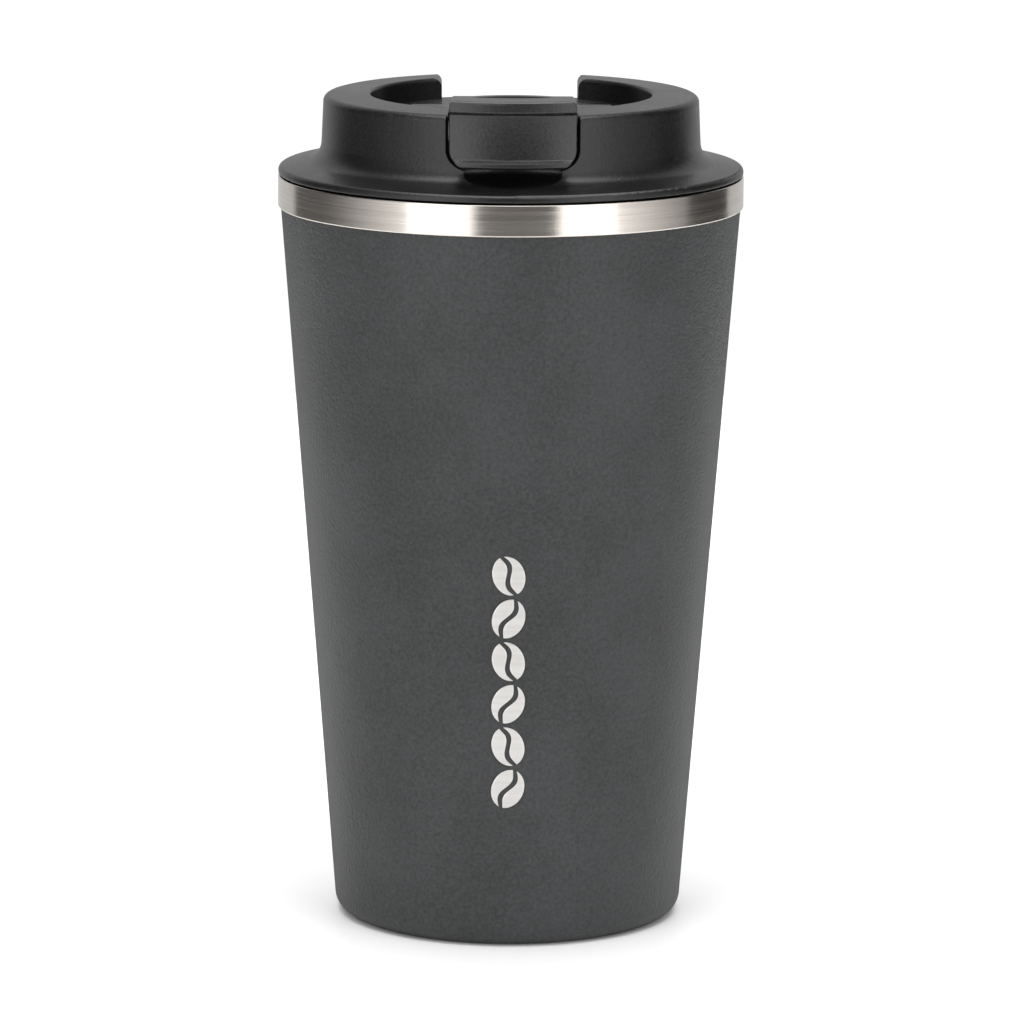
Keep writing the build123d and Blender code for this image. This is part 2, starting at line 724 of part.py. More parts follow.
def hinge_pin():
    """Steel pin, pressed into both blocks, on which the lever turns."""
    return cylinder_along_x(PIN_RADIUS, BLOCK_OUTER - PIN_INSET, z=PIVOT_HEIGHT)


# ---------------------------------------------------------------- flip lever


def lever_head():
    """Head and hanging tab, turned about the cup's axis and trimmed to the tab's front outline."""
    face = TAB_RADIUS - LIP_DEPTH
    lip_bottom = TAB_TOP - LIP_HEIGHT
    foot_top = TAB_BOTTOM + FOOT_LIP_HEIGHT
    face_sweep = FACE_SWEEP_SHARE * ((lip_bottom - foot_top) / 2) ** 2 / FACE_HOLLOW
    section = turned(
        [
            (HEAD_BACK / 2, ARM_BOTTOM),
            (HEAD_BACK / 2, TAB_TOP),
            (TAB_RADIUS, TAB_TOP, LIP_ROUND),
            (TAB_RADIUS, lip_bottom, LIP_LOWER_ROUND),
            (face, lip_bottom - LIP_DEPTH / 2, FACE_ROUND),
            (face - FACE_HOLLOW, (lip_bottom + foot_top) / 2, face_sweep),
            (face, foot_top + FOOT_LIP_DEPTH / 2, FACE_ROUND),
            (face + FOOT_LIP_DEPTH, foot_top - FOOT_LIP_EDGE, FOOT_LIP_EDGE),
            (face + FOOT_LIP_DEPTH, TAB_BOTTOM, FOOT_LIP_ROUND),
            (TAB_BACK_RADIUS, TAB_BOTTOM, FOOT_LIP_ROUND),
            (TAB_BACK_RADIUS, ARM_BOTTOM),
        ]
    )
    outline = front_prism(
        [
            (-HALF_TAB, TAB_BOTTOM - SINK, TAB_BOTTOM_CORNER + SINK),
            (HALF_TAB, TAB_BOTTOM - SINK, TAB_BOTTOM_CORNER + SINK),
            (HALF_TAB, TAB_TOP + SINK, TAB_TOP_CORNER + SINK),
            (-HALF_TAB, TAB_TOP + SINK, TAB_TOP_CORNER + SINK),
        ],
        -REACH,
        -HEAD_BACK,
    )
    head = section & outline
    middle = (TAB_BACK_RADIUS + TAB_RADIUS) / 2
    front = [
        edge for edge in head.edges() if abs(edge.center().X) > HALF_TAB / 2 and nearest(edge) > middle
    ]
    return fillet(front, TAB_EDGE_ROUND)


def head_core():
    """Cored space in the head, open below, that leaves an even wall."""
    inner_back = HEAD_BACK + HEAD_WALL
    space = cylinder_along_z(TAB_BACK_RADIUS, ARM_BOTTOM - SINK, TAB_TOP - HEAD_WALL)
    keep = box_between(
        (-HALF_TAB + HEAD_WALL, -REACH, 0), (HALF_TAB - HEAD_WALL, -inner_back, REACH)
    )
    return space & keep


def head_crown():
    """Slight crown along the back of the head, where the thumb rests."""
    half = CROWN_WIDTH / 2
    radius = (half**2 + CROWN_RISE**2) / (2 * CROWN_RISE)
    bar = Pos(0, 0, TAB_TOP + CROWN_RISE - radius) * Rot(90, 0, 0) * Cylinder(radius, 2 * REACH)
    keep = box_between(
        (-half, -HEAD_BACK - HEAD_WALL, TAB_TOP - SINK), (half, -HEAD_BACK, TAB_TOP + 2 * CROWN_RISE)
    )
    return bar & keep


def flap_lever():
    """Flip lever: head with tab, arm, hinge barrel and the peg that carries the stopper."""
    arm = box_between((-HALF_TAB, -HEAD_BACK - HEAD_WALL, ARM_BOTTOM), (HALF_TAB, 0, ARM_TOP))
    arm = fillet(arm.edges().filter_by(Axis.Y), ARM_ROUND)
    lever = lever_head() - head_core() + arm + head_crown()
    lever += cylinder_along_x(BARREL_RADIUS, HALF_TAB, z=PIVOT_HEIGHT)
    lever += stopper_peg()
    return lever - cylinder_along_x(PIN_RADIUS + PIN_RUNNING_GAP, REACH, z=PIVOT_HEIGHT)


def stopper_peg():
    """Peg under the arm that the stopper is pushed over."""
    length = HOLE_LENGTH - 2 * PEG_MARGIN
    width = HOLE_WIDTH - 2 * PEG_MARGIN
    return oval_bar(length, width, ARM_BOTTOM - PEG_DEPTH, ARM_BOTTOM, HOLE_PLACE)


def flap_stopper():
    """Silicone stopper: a pad under the arm, a tapered plug and a vent nub."""
    pad_bottom = DECK_TOP + PAD_GAP
    front = HOLE_PLACE - HOLE_WIDTH / 2 - PAD_MARGIN
    back = VENT_PLACE + VENT_RADIUS + PAD_MARGIN
    half = HOLE_LENGTH / 2 + PAD_MARGIN
    corner = PAD_CORNER
    outline = rounded_face(
        [(-half, front, corner), (half, front, corner), (half, back, corner), (-half, back, corner)]
    )
    stopper = extrude(Pos(0, 0, pad_bottom) * outline, ARM_BOTTOM - pad_bottom)
    shrink = 2 * (STOPPER_GAP + STOPPER_DRAFT)
    stopper += oval_bar(
        HOLE_LENGTH - shrink,
        HOLE_WIDTH - shrink,
        DECK_TOP - STOPPER_DEPTH,
        pad_bottom,
        HOLE_PLACE,
        top_growth=STOPPER_DRAFT,
    )
    nub_top = VENT_RADIUS - NUB_GAP
    nub = Pos(0, VENT_PLACE, pad_bottom - NUB_DEPTH / 2) * Cone(NUB_TIP, nub_top, NUB_DEPTH)
    return stopper + nub - stopper_peg()


# ---------------------------------------------------------------- build

PIECES = (
    outer_shell,
    rim_band,
    inner_liner,
    liner_bottom,
    radiation_foil,
    vacuum_base,
    port_solder,
    base_cover,
    getter,
    getter_clip,
    lid_gasket,
    lid_plug,
    lid_cover,
    hinge_pin,
    flap_lever,
    flap_stopper,
)


def main():
    """Writes every piece to its own file, and prints the cup's brim volume."""
    os.makedirs("parts", exist_ok=True)
    for piece in PIECES:
        export_step(piece(), f"parts/{piece.__name__}.step")
    bowl = (SHOULDER_BOTTOM - LINER_FLOOR) * pi
    bowl *= (SHOULDER_RADIUS**2 + SHOULDER_RADIUS * LINER_FOOT_RADIUS + LINER_FOOT_RADIUS**2) / 3
    neck = (BAND_TOP - SHOULDER_BOTTOM) * pi * NECK_RADIUS**2
    print(f"brim volume about {(bowl + neck) / 1000:.0f} ml")


main()
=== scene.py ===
import logging
from dataclasses import dataclass, field
from enum import Enum
from math import cos, pi, radians, sin
from typing import Any, ClassVar, Sequence

import bmesh
import bpy
import numpy as np
from mathutils import Matrix, Vector


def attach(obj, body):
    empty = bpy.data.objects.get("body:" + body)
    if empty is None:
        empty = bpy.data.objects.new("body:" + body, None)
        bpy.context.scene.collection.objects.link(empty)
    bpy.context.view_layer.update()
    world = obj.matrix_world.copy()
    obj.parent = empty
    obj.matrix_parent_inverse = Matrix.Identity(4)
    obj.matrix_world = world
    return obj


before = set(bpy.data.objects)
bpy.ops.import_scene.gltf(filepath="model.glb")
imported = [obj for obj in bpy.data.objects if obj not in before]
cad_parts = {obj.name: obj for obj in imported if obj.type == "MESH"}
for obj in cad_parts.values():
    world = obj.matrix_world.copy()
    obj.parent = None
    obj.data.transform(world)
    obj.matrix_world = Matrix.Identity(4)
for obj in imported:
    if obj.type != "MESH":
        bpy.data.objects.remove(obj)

LOG = logging.getLogger("travel_mug")
MM = 0.001

Colour = tuple[float, float, float, float]

MIDDLE = 0.5  # middle of a noise field, and of a blend of two colours


# ---------------------------------------------------------------- shader maths


class Value:
    """A socket that carries a number, with the arithmetic of shader nodes."""

    def __init__(self, tree: bpy.types.NodeTree, socket: Any) -> None:
        """Wraps one output socket.

        Args:
            tree: the node tree that the socket is in.
            socket: the output socket.
        """
        self.tree = tree
        self.socket = socket

    def _math(self, operation: str, *terms: Any) -> "Value":
        """Adds one Math node.

        Args:
            operation: the node's operation.
            terms: numbers or values, in the node's order.

        Returns:
            The node's result.
        """
        node = self.tree.nodes.new("ShaderNodeMath")
        node.operation = operation
        for place, term in enumerate(terms):
            if isinstance(term, Value):
                self.tree.links.new(term.socket, node.inputs[place])
            else:
                node.inputs[place].default_value = float(term)
        return Value(self.tree, node.outputs[0])

    def __add__(self, other: Any) -> "Value":
        """self + other."""
        return self._math("ADD", self, other)

    def __radd__(self, other: Any) -> "Value":
        """other + self."""
        return self._math("ADD", other, self)

    def __sub__(self, other: Any) -> "Value":
        """self - other."""
        return self._math("SUBTRACT", self, other)

    def __rsub__(self, other: Any) -> "Value":
        """other - self."""
        return self._math("SUBTRACT", other, self)

    def __mul__(self, other: Any) -> "Value":
        """self * other."""
        return self._math("MULTIPLY", self, other)

    def __rmul__(self, other: Any) -> "Value":
        """other * self."""
        return self._math("MULTIPLY", other, self)

    def __truediv__(self, other: Any) -> "Value":
        """self / other."""
        return self._math("DIVIDE", self, other)

    def __rtruediv__(self, other: Any) -> "Value":
        """other / self."""
        return self._math("DIVIDE", other, self)

    def __pow__(self, other: Any) -> "Value":
        """self to the power of other."""
        return self._math("POWER", self, other)

    def __rpow__(self, other: Any) -> "Value":
        """other to the power of self."""
        return self._math("POWER", other, self)

    def absolute(self) -> "Value":
        """Size without sign."""
        return self._math("ABSOLUTE", self)

    def angle_with(self, other: "Value") -> "Value":
        """Angle of the point (other, self) from the other's axis, in radians."""
        return self._math("ARCTAN2", self, other)

    def root(self) -> "Value":
        """Square root."""
        return self._math("SQRT", self)

    def ramp(self, low: float, high: float, start: float = 0.0, end: float = 1.0) -> "Value":
        """Smooth step from start at low to end at high.

        Args:
            low: where the step begins.
            high: where the step ends.
            start: result below the step.
            end: result above the step.

        Returns:
            The stepped value.
        """
        node = self.tree.nodes.new("ShaderNodeMapRange")
        node.interpolation_type = "SMOOTHSTEP"
        self.tree.links.new(self.socket, node.inputs["Value"])
        for name, number in (
            ("From Min", low), ("From Max", high), ("To Min", start), ("To Max", end)
        ):
            node.inputs[name].default_value = number
        return Value(self.tree, node.outputs[0])

    def clear(self) -> "Value":
        """The value held between zero and one."""
        node = self.tree.nodes.new("ShaderNodeClamp")
        self.tree.links.new(self.socket, node.inputs[0])
        return Value(self.tree, node.outputs[0])

    def window(self, low: float, high: float, soft: float) -> "Value":
        """One between low and high and zero outside, with soft edges.

        Args:
            low: lower edge.
            high: upper edge.
            soft: width of each edge.

        Returns:
            The mask.
        """
        rise = self.ramp(low - soft / 2, low + soft / 2)
        return rise * self.ramp(high - soft / 2, high + soft / 2, 1.0, 0.0)


class Graph:
    """Node tree of one material or of the world, with one method that adds any node."""

    # a Mix node's colour sockets, by number, because its number and vector ones have the same names
    MIX_FIRST: ClassVar[int] = 6
    MIX_SECOND: ClassVar[int] = 7
    MIX_RESULT: ClassVar[int] = 2

    def __init__(self, tree: bpy.types.NodeTree) -> None:
        """Empties the tree.

        Args:
            tree: the node tree to build in.
        """
        self.tree = tree
        tree.nodes.clear()

    def node(
        self,
        kind: str,
        settings: dict[str, Any] | None = None,
        sockets: dict[Any, Any] | None = None,
    ) -> bpy.types.Node:
        """Adds a node, sets what it is, then fills its sockets.

        Args:
            kind: the node's type, without its ShaderNode prefix.
            settings: attributes of the node.
            sockets: input name or number to a number, a colour, a Value or a socket.

        Returns:
            The node.
        """
        made = self.tree.nodes.new("ShaderNode" + kind)
        for name, setting in (settings or {}).items():
            setattr(made, name, setting)
        for name, content in (sockets or {}).items():
            target = made.inputs[name]
            if isinstance(content, Value):
                self.tree.links.new(content.socket, target)
            elif isinstance(content, bpy.types.NodeSocket):
                self.tree.links.new(content, target)
            else:
                target.default_value = content
        return made

    def value(self, socket: Any) -> Value:
        """Wraps a socket for arithmetic."""
        return Value(self.tree, socket)

    def place(self) -> Any:
        """Object coordinates, in metres from the mug's foot."""
        return self.node("TexCoord").outputs["Object"]

    def axes(self, vector: Any) -> tuple[Value, Value, Value]:
        """Splits a vector.

        Args:
            vector: the socket to split.

        Returns:
            Its x, y and z.
        """
        split = self.node("SeparateXYZ", sockets={0: vector})
        return tuple(self.value(out) for out in split.outputs)

    def stretched(self, vector: Any, scale: Sequence[float]) -> Any:
        """Scales a vector through a Mapping node.

        Args:
            vector: the socket to scale.
            scale: factor along each axis.

        Returns:
            The scaled vector's socket.
        """
        return self.node("Mapping", sockets={"Vector": vector, "Scale": tuple(scale)}).outputs[0]

    def noise(
        self, vector: Any, per_metre: float, detail: float = 2.0, roughness: float = 0.5
    ) -> Value:
        """Soft random field.

        Args:
            vector: where it is read.
            per_metre: bumps in a metre.
            detail: octaves added.
            roughness: weight of each next octave.

        Returns:
            A value around one half.
        """
        made = self.node(
            "TexNoise",
            sockets={
                "Vector": vector,
                "Scale": per_metre,
                "Detail": detail,
                "Roughness": roughness,
            },
        )
        return self.value(made.outputs["Fac"])

    def blend(self, share: Any, first: Any, second: Any) -> Any:
        """Mixes two colours.

        Args:
            share: how much of the second, a number or a Value.
            first: colour at zero.
            second: colour at one.

        Returns:
            The mixed colour's socket.
        """
        sockets = {"Factor": share, self.MIX_FIRST: first, self.MIX_SECOND: second}
        return self.node("Mix", {"data_type": "RGBA"}, sockets).outputs[self.MIX_RESULT]

    def bump(self, height: Value, distance: float, below: Any = None) -> Any:
        """Bends the normal by a height.

        Args:
            height: the height, one being distance metres.
            distance: height of one, in metres.
            below: normal that this one adds to.

        Returns:
            The normal's socket.
        """
        sockets = {"Height": height, "Distance": distance, "Strength": 1.0}
        if below is not None:
            sockets["Normal"] = below
        return self.node("Bump", sockets=sockets).outputs[0]


def grey(level: float, warmth: float = 0.0) -> Colour:
    """Grey colour, linear.

    Args:
        level: brightness.
        warmth: how far red and half as far green go above blue, as a share.

    Returns:
        The colour with full opacity.
    """
    return (level * (1 + warmth), level * (1 + warmth / 2), level, 1.0)


# ---------------------------------------------------------------- finishes


@dataclass(frozen=True)
class Finish:
    """A surface finish: constants of the shader, and a pattern that varies over the surface."""

    name: str
    level: float
    warmth: float = 0.0
    roughness: float = 0.5
    metallic: float = 0.0
    ior: float = 1.5
    specular: float = 0.5

    def material(self) -> bpy.types.Material:
        """Builds the material.

        Returns:
            The material, ready for a mesh.
        """
        made = bpy.data.materials.new(self.name)
        made.use_nodes = True
        graph = Graph(made.node_tree)
        shader = graph.node(
            "BsdfPrincipled",
            sockets={
                "Base Color": grey(self.level, self.warmth),
                "Roughness": self.roughness,
                "Metallic": self.metallic,
                "IOR": self.ior,
                "Specular IOR Level": self.specular,
            },
        )
        self.pattern(graph, shader)
        graph.node("OutputMaterial", sockets={"Surface": shader.outputs[0]})
        return made

    def pattern(self, graph: Graph, shader: bpy.types.Node) -> None:
        """Adds what varies over the surface; each kind of finish has its own.

        Args:
            graph: the material's graph.
            shader: its shader node.
        """

    def link(self, graph: Graph, shader: bpy.types.Node, socket: str, source: Any) -> None:
        """Feeds one of the shader's sockets.

        Args:
            graph: the material's graph.
            shader: the shader node.
            socket: name of its input.
            source: a Value or an output socket.
        """
        out = source.socket if isinstance(source, Value) else source
        graph.tree.links.new(out, shader.inputs[socket])


@dataclass(frozen=True)
class PowderCoat(Finish):
    """Sprayed powder coat: a fine wrinkle on a slow orange-peel wave, with faint mottling."""

    grain_per_metre: float = 1500.0
    grain_height: float = 0.16 * MM
    peel_per_metre: float = 260.0
    peel_height: float = 0.05 * MM
    cloud_per_metre: float = 45.0
    mottle: float = 0.3
    grain_mottle: float = 1.8
    cloud_mottle: float = 1.3
    grain_haze: float = 0.16
    cloud_haze: float = 0.06
    edge_haze: float = 0.3
    edge_power: float = 3.0

    def pattern(self, graph: Graph, shader: bpy.types.Node) -> None:
        """Colour mottling, uneven roughness and two scales of bump.

        Args:
            graph: the material's graph.
            shader: its shader node.
        """
        place = graph.place()
        cloud = graph.noise(place, self.cloud_per_metre, detail=3.0)
        grain = graph.noise(place, self.grain_per_metre, detail=2.0, roughness=0.6)
        peel = graph.noise(place, self.peel_per_metre, detail=1.0)
        share = (cloud - MIDDLE) * self.cloud_mottle + (grain - MIDDLE) * self.grain_mottle + MIDDLE
        dark = grey(self.level * (1 - self.mottle), self.warmth)
        pale = grey(self.level * (1 + self.mottle), self.warmth)
        self.link(graph, shader, "Base Color", graph.blend(share, dark, pale))
        facing = graph.node("LayerWeight", sockets={"Blend": MIDDLE}).outputs["Facing"]
        edge = graph.value(facing) ** self.edge_power * self.edge_haze
        least = self.roughness - (self.grain_haze + self.cloud_haze) / 2
        haze = grain * self.grain_haze + cloud * self.cloud_haze + edge + least
        self.link(graph, shader, "Roughness", haze)
        wave = graph.bump(peel, self.peel_height)
        self.link(graph, shader, "Normal", graph.bump(grain, self.grain_height, below=wave))


@dataclass(frozen=True)
class RoundBrushed(Finish):
    """Steel brushed round the mug's axis: fine rings that run for a few centimetres."""

    rings_per_metre: float = 9000.0
    run_per_metre: float = 26.0
    fine_to_coarse: float = 6.0
    coarse_run_per_metre: float = 14.0
    depth: float = 0.004 * MM
    streak: float = 0.22
    fine_streak: float = 0.9
    coarse_streak: float = 0.7
    fine_haze: float = 0.16
    coarse_haze: float = 0.08

    def pattern(self, graph: Graph, shader: bpy.types.Node) -> None:
        """Streaks in brightness and roughness, and ring scratches.

        Args:
            graph: the material's graph.
            shader: its shader node.
        """
        place = graph.place()
        run, rings = self.run_per_metre, self.rings_per_metre
        fine = graph.stretched(place, (run, run, rings))
        run, rings = self.coarse_run_per_metre, self.rings_per_metre / self.fine_to_coarse
        coarse = graph.stretched(place, (run, run, rings))
        scratches = graph.noise(fine, 1.0, detail=2.0, roughness=0.6)
        bands = graph.noise(coarse, 1.0, detail=1.0)
        share = (scratches - MIDDLE) * self.fine_streak + (bands - MIDDLE) * self.coarse_streak
        share = share + MIDDLE
        dark = grey(self.level * (1 - self.streak), self.warmth)
        pale = grey(self.level * (1 + self.streak / 2), self.warmth)
        self.link(graph, shader, "Base Color", graph.blend(share, dark, pale))
        least = self.roughness - (self.fine_haze + self.coarse_haze) / 2
        haze = scratches * self.fine_haze + bands * self.coarse_haze + least
        self.link(graph, shader, "Roughness", haze)
        self.link(graph, shader, "Normal", graph.bump(scratches, self.depth))


@dataclass(frozen=True)
class SatinSteel(Finish):
    """Electropolished or pressed steel: a soft cloud of drawing marks."""

    cloud_per_metre: float = 180.0
    drawn_per_metre: tuple[float, float, float] = (900.0, 900.0, 60.0)
    depth: float = 0.002 * MM
    darkest: float = 0.88
    palest: float = 1.08
    drawn_haze: float = 0.12
    cloud_haze: float = 0.08

    def pattern(self, graph: Graph, shader: bpy.types.Node) -> None:
        """Slow changes of colour and roughness, and slight waviness.

        Args:
            graph: the material's graph.
            shader: its shader node.
        """
        place = graph.place()
        cloud = graph.noise(place, self.cloud_per_metre, detail=3.0)
        drawn = graph.noise(graph.stretched(place, self.drawn_per_metre), 1.0, detail=2.0)
        dark = grey(self.level * self.darkest, self.warmth)
        pale = grey(self.level * self.palest, self.warmth)
        self.link(graph, shader, "Base Color", graph.blend(cloud, dark, pale))
        least = self.roughness - (self.drawn_haze + self.cloud_haze) / 2
        haze = drawn * self.drawn_haze + cloud * self.cloud_haze + least
        self.link(graph, shader, "Roughness", haze)
        self.link(graph, shader, "Normal", graph.bump(drawn, self.depth))


@dataclass(frozen=True)
class Moulded(Finish):
    """Moulded plastic or silicone with a spark-eroded mould texture."""

    grain_per_metre: float = 1700.0
    grain_height: float = 0.07 * MM
    flow_per_metre: float = 70.0
    flow: float = 0.1
    grain_mottle: float = 1.6
    grain_haze: float = 0.14
    flow_haze: float = 0.1

    def pattern(self, graph: Graph, shader: bpy.types.Node) -> None:
        """Fine pits in colour, roughness and height, and slow flow marks.

        Args:
            graph: the material's graph.
            shader: its shader node.
        """
        place = graph.place()
        pits = graph.noise(place, self.grain_per_metre, detail=2.0, roughness=0.55)
        flow = graph.noise(place, self.flow_per_metre, detail=3.0)
        dark = grey(self.level * (1 - self.flow), self.warmth)
        pale = grey(self.level * (1 + self.flow), self.warmth)
        share = (pits - MIDDLE) * self.grain_mottle + (flow - MIDDLE) + MIDDLE
        self.link(graph, shader, "Base Color", graph.blend(share, dark, pale))
        least = self.roughness - (self.grain_haze + self.flow_haze) / 2
        haze = pits * self.grain_haze + flow * self.flow_haze + least
        self.link(graph, shader, "Roughness", haze)
        self.link(graph, shader, "Normal", graph.bump(pits, self.grain_height))


@dataclass(frozen=True)
class Copper(Finish):
    """Thin copper foil, crinkled."""

    tint: tuple[float, float, float] = (0.78, 0.42, 0.28)
    tarnish: float = 0.6
    crinkles_per_metre: float = 150.0
    crinkle_height: float = 0.3 * MM
    haze: float = 0.3

    def pattern(self, graph: Graph, shader: bpy.types.Node) -> None:
        """Crinkles and darker tarnish in them.

        Args:
            graph: the material's graph.
            shader: its shader node.
        """
        place = graph.place()
        crinkle = graph.noise(place, self.crinkles_per_metre, detail=4.0, roughness=0.6)
        dark = tuple(self.tarnish * part for part in self.tint) + (1.0,)
        self.link(graph, shader, "Base Color", graph.blend(crinkle, dark, self.tint + (1.0,)))
        least = self.roughness - self.haze / 2
        self.link(graph, shader, "Roughness", crinkle * self.haze + least)
        self.link(graph, shader, "Normal", graph.bump(crinkle, self.crinkle_height))


@dataclass(frozen=True)
class Granular(Finish):
    """Sintered or once-molten metal: coarse grains."""

    grains_per_metre: float = 2200.0
    height: float = 0.08 * MM
    mottle: float = 0.4
    haze: float = 0.3

    def pattern(self, graph: Graph, shader: bpy.types.Node) -> None:
        """Grains in colour, roughness and height.

        Args:
            graph: the material's graph.
            shader: its shader node.
        """
        place = graph.place()
        grains = graph.noise(place, self.grains_per_metre, detail=3.0, roughness=0.65)
        dark = grey(self.level * (1 - self.mottle), self.warmth)
        pale = grey(self.level * (1 + self.mottle), self.warmth)
        self.link(graph, shader, "Base Color", graph.blend(grains, dark, pale))
        least = self.roughness - self.haze / 2
        self.link(graph, shader, "Roughness", grains * self.haze + least)
        self.link(graph, shader, "Normal", graph.bump(grains, self.height))


class Finishes(Enum):
    """The finishes of the mug, by what they are on."""

    COAT = PowderCoat("powder_coat", level=0.044, warmth=-0.05, roughness=0.36, specular=0.17)
    BAND = RoundBrushed("brushed_band", level=0.56, warmth=0.17, roughness=0.17, metallic=1.0)
    LINER = SatinSteel("satin_liner", level=0.58, warmth=0.015, roughness=0.26, metallic=1.0)
    BASE = RoundBrushed("turned_base", level=0.55, warmth=0.01, roughness=0.34, metallic=1.0)
    PIN = SatinSteel("blackened_pin", level=0.035, roughness=0.35, metallic=1.0)
    LID = Moulded(
        "lid_moulding",
        level=0.004,
        roughness=0.34,
        specular=0.42,
        grain_height=0.05 * MM,
        flow=0.5,
    )
    LEVER = Moulded(
        "lever_moulding",
        level=0.006,
        roughness=0.33,
        specular=0.58,
        grain_height=0.035 * MM,
        flow=0.4,
    )
    PLUG = Moulded("plug_moulding", level=0.028, roughness=0.4, grain_height=0.008 * MM)
    GASKET = Moulded(
        "gasket_rubber", level=0.5, warmth=0.02, roughness=0.55, grain_height=0.01 * MM
    )
    STOPPER = Moulded("stopper_rubber", level=0.045, roughness=0.62, grain_height=0.012 * MM)
    FOIL = Copper("foil_copper", level=0.5, roughness=0.28, metallic=1.0)
    SOLDER = Granular("port_solder", level=0.3, roughness=0.5, metallic=1.0)
    GETTER = Granular("getter_pellet", level=0.12, roughness=0.7, metallic=0.6)
    MARK = RoundBrushed("bared_steel", level=0.55, warmth=0.05, roughness=0.3, metallic=1.0)
    MARK_EDGE = Moulded("mark_edge", level=0.012, roughness=0.5)

    def built(self) -> bpy.types.Material:
        """The material of this finish, built once.

        Returns:
            The material.
        """
        return bpy.data.materials.get(self.value.name) or self.value.material()


# ---------------------------------------------------------------- meshes

MERGE_DISTANCE = 1e-7  # points of a made mesh closer than this, in metres, are one
SHORTEST_EDGE = 1e-8  # edges of a made mesh shorter than this, in metres, are taken out


def mesh_object(name: str, points: np.ndarray, faces: np.ndarray) -> bpy.types.Object:
    """Makes a mesh object at the origin from whole arrays.

    Args:
        name: the object's name.
        points: (n, 3) places in metres.
        faces: (m, 4) corners of each face.

    Returns:
        The object, in the scene.
    """
    mesh = bpy.data.meshes.new(name)
    mesh.from_pydata(points.tolist(), [], faces.tolist())
    mesh.validate()
    mesh.shade_smooth()
    made = bpy.data.objects.new(name, mesh)
    bpy.context.scene.collection.objects.link(made)
    return made


def closed_grid_faces(rows: int, columns: int) -> np.ndarray:
    """Faces of a grid whose columns close on themselves, as on a tube's outline.

    Args:
        rows: points along the open way.
        columns: points round the closed way.

    Returns:
        (rows - 1) * columns four-cornered faces.
    """
    row, column = np.meshgrid(np.arange(rows - 1), np.arange(columns), indexing="ij")
    after = (column + 1) % columns
    corners = (row * columns + column, row * columns + after, (row + 1) * columns + after)
    last = (row + 1) * columns + column
    return np.stack([*corners, last], axis=-1).reshape(-1, 4)


# ---------------------------------------------------------------- sub-assemblies


@dataclass
class Dressed:
    """A sub-assembly whose pieces are CAD nodes that only need their finish."""

    body: str
    finishes: dict[str, Finishes] = field(default_factory=dict)

    def dress(self) -> None:
        """Gives each node its finish."""
        for node, finish in self.finishes.items():
            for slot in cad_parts[node].material_slots:
                slot.material = finish.built()
            LOG.info("%s on %s: %s", node, self.body, finish.value.name)


@dataclass
class Wall:
    """The tapered outer wall, worked out from the frame, that the mark lies on."""

    foot_corner: float = 6.0 * MM
    end_reach: float = 0.1 * MM

    def radius(self, height: np.ndarray) -> np.ndarray:
        """Outside radius at a height, straight between the wall's two ends above the foot's corner.

        Both ends are read from the shell's own vertices, within end_reach of its top and of the
        foot's corner.

        Args:
            height: heights in metres.

        Returns:
            Radii in metres.
        """
        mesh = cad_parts["outer_shell"].data
        places = np.empty(len(mesh.vertices) * 3, np.float32)
        mesh.vertices.foreach_get("co", places)
        places = places.reshape(-1, 3)
        outside = places[places[:, 2] > self.foot_corner]
        spread = np.hypot(outside[:, 0], outside[:, 1])
        top = outside[:, 2].max()
        top_radius = spread[outside[:, 2] > top - self.end_reach].max()
        low = outside[:, 2].min()
        low_radius = spread[outside[:, 2] < low + self.end_reach].max()
        return low_radius + (height - low) * (top_radius - low_radius) / (top - low)


